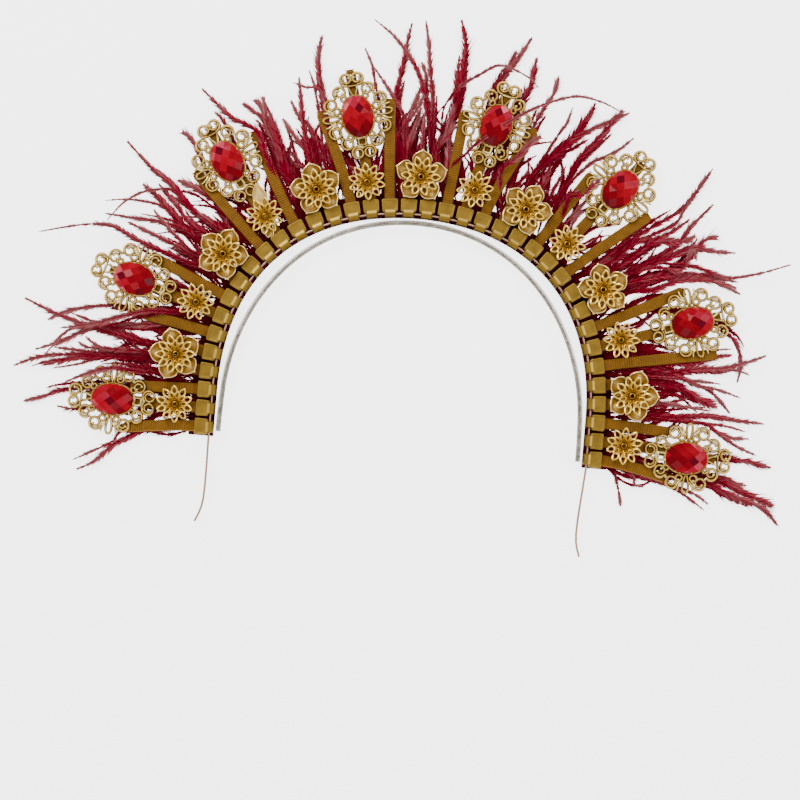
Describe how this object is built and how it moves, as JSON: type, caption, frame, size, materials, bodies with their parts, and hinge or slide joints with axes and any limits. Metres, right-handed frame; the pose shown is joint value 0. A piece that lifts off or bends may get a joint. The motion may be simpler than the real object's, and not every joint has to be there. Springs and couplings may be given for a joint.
{
  "type": "baroque halo headband",
  "caption": "Halo headband: cable-tie spokes on a wire hoop carry filigree ornaments with red oval stones, gold flowers and an ostrich fringe.",
  "frame": {"origin": "middle of the footprint at the height that it rests on, lying on its back", "axes": "+X to the right and +Y to the top of the arch as the wearer is seen from the front, +Z out of the front"},
  "size_m": [0.328, 0.2254, 0.0155],
  "materials": {
    "gold_plastic": "satin olive-gold nylon, ribbed on the straps",
    "gold_metal": "bright pale-gold plating, darker in the pierced work",
    "wire_metal": "rose-gold coated wire",
    "ruby_glass": "faceted, polished, foil-backed red",
    "maroon_feather": "dyed ostrich barbs on a matte maroon ribbon",
    "clear_plastic": "clear flexible sheet"
  },
  "bodies": {
    "root": {"wire_hoop": "wire_metal", "clear_strip": "clear_plastic", "feather_fringe": "maroon_feather", "tie_1_left": "gold_plastic", "tie_1_middle": "gold_plastic", "tie_1_right": "gold_plastic", "filigree_1": "gold_metal", "stone_1": "ruby_glass", "small_flower_1": "gold_metal", "tie_2_left": "gold_plastic", "tie_2_middle": "gold_plastic", "tie_2_right": "gold_plastic", "filigree_2": "gold_metal", "stone_2": "ruby_glass", "small_flower_2": "gold_metal", "tie_3_left": "gold_plastic", "tie_3_middle": "gold_plastic", "tie_3_right": "gold_plastic", "filigree_3": "gold_metal", "stone_3": "ruby_glass", "small_flower_3": "gold_metal", "tie_4_left": "gold_plastic", "tie_4_middle": "gold_plastic", "tie_4_right": "gold_plastic", "filigree_4": "gold_metal", "stone_4": "ruby_glass", "small_flower_4": "gold_metal", "tie_5_left": "gold_plastic", "tie_5_middle": "gold_plastic", "tie_5_right": "gold_plastic", "filigree_5": "gold_metal", "stone_5": "ruby_glass", "small_flower_5": "gold_metal", "tie_6_left": "gold_plastic", "tie_6_middle": "gold_plastic", "tie_6_right": "gold_plastic", "filigree_6": "gold_metal", "stone_6": "ruby_glass", "small_flower_6": "gold_metal", "tie_7_left": "gold_plastic", "tie_7_middle": "gold_plastic", "tie_7_right": "gold_plastic", "filigree_7": "gold_metal", "stone_7": "ruby_glass", "small_flower_7": "gold_metal", "tie_8_left": "gold_plastic", "tie_8_middle": "gold_plastic", "tie_8_right": "gold_plastic", "filigree_8": "gold_metal", "stone_8": "ruby_glass", "small_flower_8": "gold_metal", "flower_and_ties_1": "gold_metal", "flower_and_ties_2": "gold_metal", "flower_and_ties_3": "gold_metal", "flower_and_ties_4": "gold_metal", "flower_and_ties_5": "gold_metal", "flower_and_ties_6": "gold_metal", "flower_and_ties_7": "gold_metal"}
  },
  "joints": []
}
